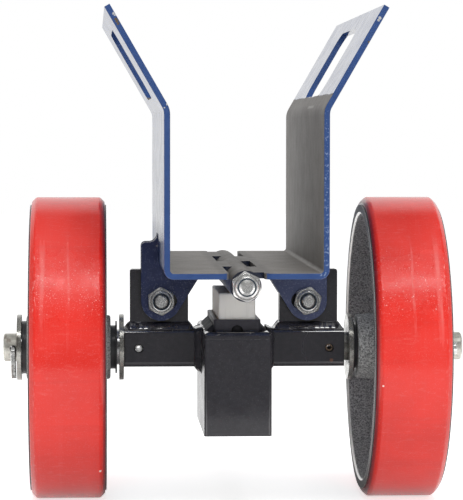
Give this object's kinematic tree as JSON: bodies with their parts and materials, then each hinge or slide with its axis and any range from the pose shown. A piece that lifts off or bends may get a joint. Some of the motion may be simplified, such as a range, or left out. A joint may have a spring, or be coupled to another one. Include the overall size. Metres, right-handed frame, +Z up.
{
  "type": "plate dolly",
  "caption": "Two-wheeled plate dolly: bent jaw plates hinged along their floor tip in and grip an upright sheet under its own weight, and a sprung plunger opens them again.",
  "frame": {"origin": "on the floor, midway between the wheels and under the axle line", "axes": "+X along the axles to the right, +Y along the plate channel away from the hinge bolt's nut, +Z up"},
  "size_m": [0.3108, 0.3072, 0.3257],
  "materials": {
    "jaw_paint": "gloss blue paint, bare steel on the gripping faces",
    "frame_paint": "semi-gloss black paint over weld beads",
    "tyre_red": "satin red polyurethane",
    "cast_iron": "rough cast",
    "zinc": "zinc plated",
    "bearing_steel": "ground steel",
    "spring_steel": "oiled spring wire",
    "seal_black": "moulded matt",
    "plunger_plastic": "off-white nylon"
  },
  "bodies": {
    "frame": {"post_tube": "frame_paint", "post_cap": "frame_paint", "post_collar": "frame_paint", "spring_seat": "frame_paint", "return_spring_front": "spring_steel", "return_spring_rear": "spring_steel", "axle_tube_left": "frame_paint", "axle_tube_right": "frame_paint", "pivot_lug_left": "frame_paint", "pivot_lug_right": "frame_paint", "axle_left": "zinc", "axle_right": "zinc", "roll_pin_left": "zinc", "roll_pin_right": "zinc", "inner_washer_left": "zinc", "inner_washer_right": "zinc", "outer_washer_left": "zinc", "outer_washer_right": "zinc", "cotter_pin_left": "zinc", "cotter_pin_right": "zinc", "bearing_sleeve_left": "bearing_steel", "bearing_sleeve_right": "bearing_steel", "pivot_bolt_left": "zinc", "pivot_bolt_right": "zinc", "pivot_nut_left": "zinc", "pivot_nut_right": "zinc"},
    "hinge_pin": {"hinge_bolt": "zinc", "hinge_nut": "zinc", "hinge_washers": "zinc"},
    "plunger": {"plunger_block": "plunger_plastic"},
    "jaw_left": {"jaw_plate_left": "jaw_paint", "jaw_ear_left_front": "jaw_paint", "jaw_ear_left_rear": "jaw_paint"},
    "wheel_left": {"tyre_left": "tyre_red", "wheel_core_left": "cast_iron", "dust_seals_left": "seal_black", "bearing_rollers_left": "bearing_steel", "bearing_cage_left": "bearing_steel"},
    "jaw_right": {"jaw_plate_right": "jaw_paint", "jaw_ear_right_front": "jaw_paint", "jaw_ear_right_rear": "jaw_paint"},
    "wheel_right": {"tyre_right": "tyre_red", "wheel_core_right": "cast_iron", "dust_seals_right": "seal_black", "bearing_rollers_right": "bearing_steel", "bearing_cage_right": "bearing_steel"}
  },
  "joints": [
    {"name": "hinge_drop", "type": "slide", "parent": "frame", "child": "hinge_pin", "axis": [0, 0, -1], "range_m": [0, 0.015], "stiffness_N_per_m": 12000, "springref_m": -0.008},
    {"name": "plunger_press", "type": "slide", "parent": "frame", "child": "plunger", "axis": [0, 0, -1], "range_m": [0, 0.015], "deforming": ["return_spring_front", "return_spring_rear"]},
    {"name": "jaw_left_tilt", "type": "hinge", "parent": "hinge_pin", "child": "jaw_left", "pos_m": [0, 0, 0.151], "axis": [0, 1, 0], "range_deg": [0, 18]},
    {"name": "jaw_right_tilt", "type": "hinge", "parent": "hinge_pin", "child": "jaw_right", "pos_m": [0, 0, 0.151], "axis": [0, -1, 0], "range_deg": [0, 18]},
    {"name": "wheel_left_spin", "type": "hinge", "parent": "frame", "child": "wheel_left", "pos_m": [-0.11163, 0, 0.1016], "axis": [1, 0, 0], "continuous": true},
    {"name": "wheel_right_spin", "type": "hinge", "parent": "frame", "child": "wheel_right", "pos_m": [0.11163, 0, 0.1016], "axis": [1, 0, 0], "continuous": true}
  ],
  "couplings": [
    {"joint": "plunger_press", "follows": "hinge_drop", "ratio": 1},
    {"joint": "jaw_left_tilt", "follows": "hinge_drop", "rad_per_m": 20.753},
    {"joint": "jaw_right_tilt", "follows": "hinge_drop", "rad_per_m": 20.753}
  ]
}
